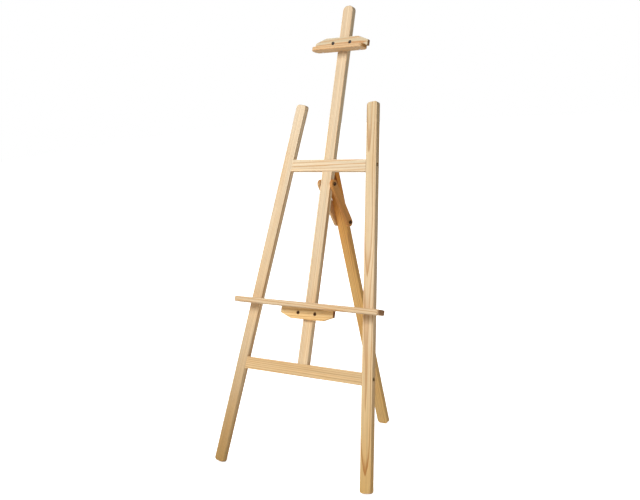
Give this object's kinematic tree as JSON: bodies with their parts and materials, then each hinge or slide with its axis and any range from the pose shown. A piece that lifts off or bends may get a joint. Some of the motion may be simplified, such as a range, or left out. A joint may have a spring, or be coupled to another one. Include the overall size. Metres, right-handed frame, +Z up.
{
  "type": "artist easel",
  "caption": "Folding wooden studio easel with an A-shaped lath frame, a central mast, a sliding canvas tray and top clamp, and a rear leg on swinging stays.",
  "frame": {"origin": "centre of the bounding box, on the floor that the three feet stand on", "axes": "+Z up, +Y towards the rear leg, so the canvas side faces -Y, +X to the right as seen from the canvas side"},
  "size_m": [0.6392, 0.5562, 1.4618],
  "materials": {
    "pine_frame": "sanded bare pine, fine straight grain",
    "pine_prop": "sanded bare pine, a warmer cut",
    "pine_tray": "sanded bare pine",
    "pine_clamp": "sanded bare pine",
    "beech": "plain beech dowel",
    "dark_steel": "dark oxide, brown to black",
    "zinc_steel": "zinc plated"
  },
  "bodies": {
    "frame": {"leg_left": "pine_frame", "leg_right": "pine_frame", "upper_rail": "pine_frame", "lower_rail": "pine_frame", "mast": "pine_frame", "rail_dowels": "beech", "mast_foot_dowels": "beech", "frame_bolts": "dark_steel", "frame_barrel_nuts": "zinc_steel", "mast_lap_screws": "zinc_steel", "stay_pivot_bolt": "dark_steel", "stay_pivot_washers": "zinc_steel", "stay_pivot_nut": "zinc_steel"},
    "stays": {"stay_left": "pine_prop", "stay_right": "pine_prop", "prop_pivot_bolt": "dark_steel", "prop_pivot_washers": "zinc_steel", "prop_pivot_nut": "zinc_steel"},
    "prop": {"rear_leg": "pine_prop"},
    "tray": {"tray_shelf": "pine_tray", "tray_block": "pine_tray", "tray_bar": "pine_tray", "tray_bolts": "dark_steel", "tray_washers": "zinc_steel", "tray_screws": "zinc_steel"},
    "clamp": {"clamp_lip": "pine_clamp", "clamp_block": "pine_clamp", "clamp_bar": "pine_clamp", "clamp_bolts": "dark_steel", "clamp_washers": "zinc_steel", "clamp_screws": "zinc_steel"},
    "tray_nut_left": {"tray_wing_nut_left": "zinc_steel"},
    "tray_nut_right": {"tray_wing_nut_right": "zinc_steel"},
    "clamp_nut_left": {"clamp_wing_nut_left": "zinc_steel"},
    "clamp_nut_right": {"clamp_wing_nut_right": "zinc_steel"}
  },
  "joints": [
    {"name": "stays_hinge", "type": "hinge", "parent": "frame", "child": "stays", "pos_m": [0, 0.06109, 0.89561], "axis": [1, 0, 0], "range_deg": [-35.26, 0]},
    {"name": "prop_hinge", "type": "hinge", "parent": "stays", "child": "prop", "pos_m": [0, 0.12886, 0.75621], "axis": [1, 0, 0], "range_deg": [0, 7.97]},
    {"name": "tray_slide", "type": "slide", "parent": "frame", "child": "tray", "axis": [0, 0.3478, 0.9376], "range_m": [-0.145, 0.225]},
    {"name": "clamp_slide", "type": "slide", "parent": "frame", "child": "clamp", "axis": [0, 0.3478, 0.9376], "range_m": [-0.35, 0.1]},
    {"name": "tray_nut_left_turn", "type": "hinge", "parent": "tray", "child": "tray_nut_left", "pos_m": [-0.0345, -0.06391, 0.48442], "axis": [0, 0.9376, -0.3478], "range_deg": [0, 450]},
    {"name": "tray_nut_right_turn", "type": "hinge", "parent": "tray", "child": "tray_nut_right", "pos_m": [0.0345, -0.06391, 0.48442], "axis": [0, 0.9376, -0.3478], "range_deg": [0, 450]},
    {"name": "clamp_nut_left_turn", "type": "hinge", "parent": "clamp", "child": "clamp_nut_left", "pos_m": [-0.0345, 0.24873, 1.32731], "axis": [0, 0.9376, -0.3478], "range_deg": [0, 450]},
    {"name": "clamp_nut_right_turn", "type": "hinge", "parent": "clamp", "child": "clamp_nut_right", "pos_m": [0.0345, 0.24873, 1.32731], "axis": [0, 0.9376, -0.3478], "range_deg": [0, 450]}
  ],
  "couplings": [
    {"joint": "prop_hinge", "follows": "stays_hinge", "ratio": -0.22584}
  ]
}
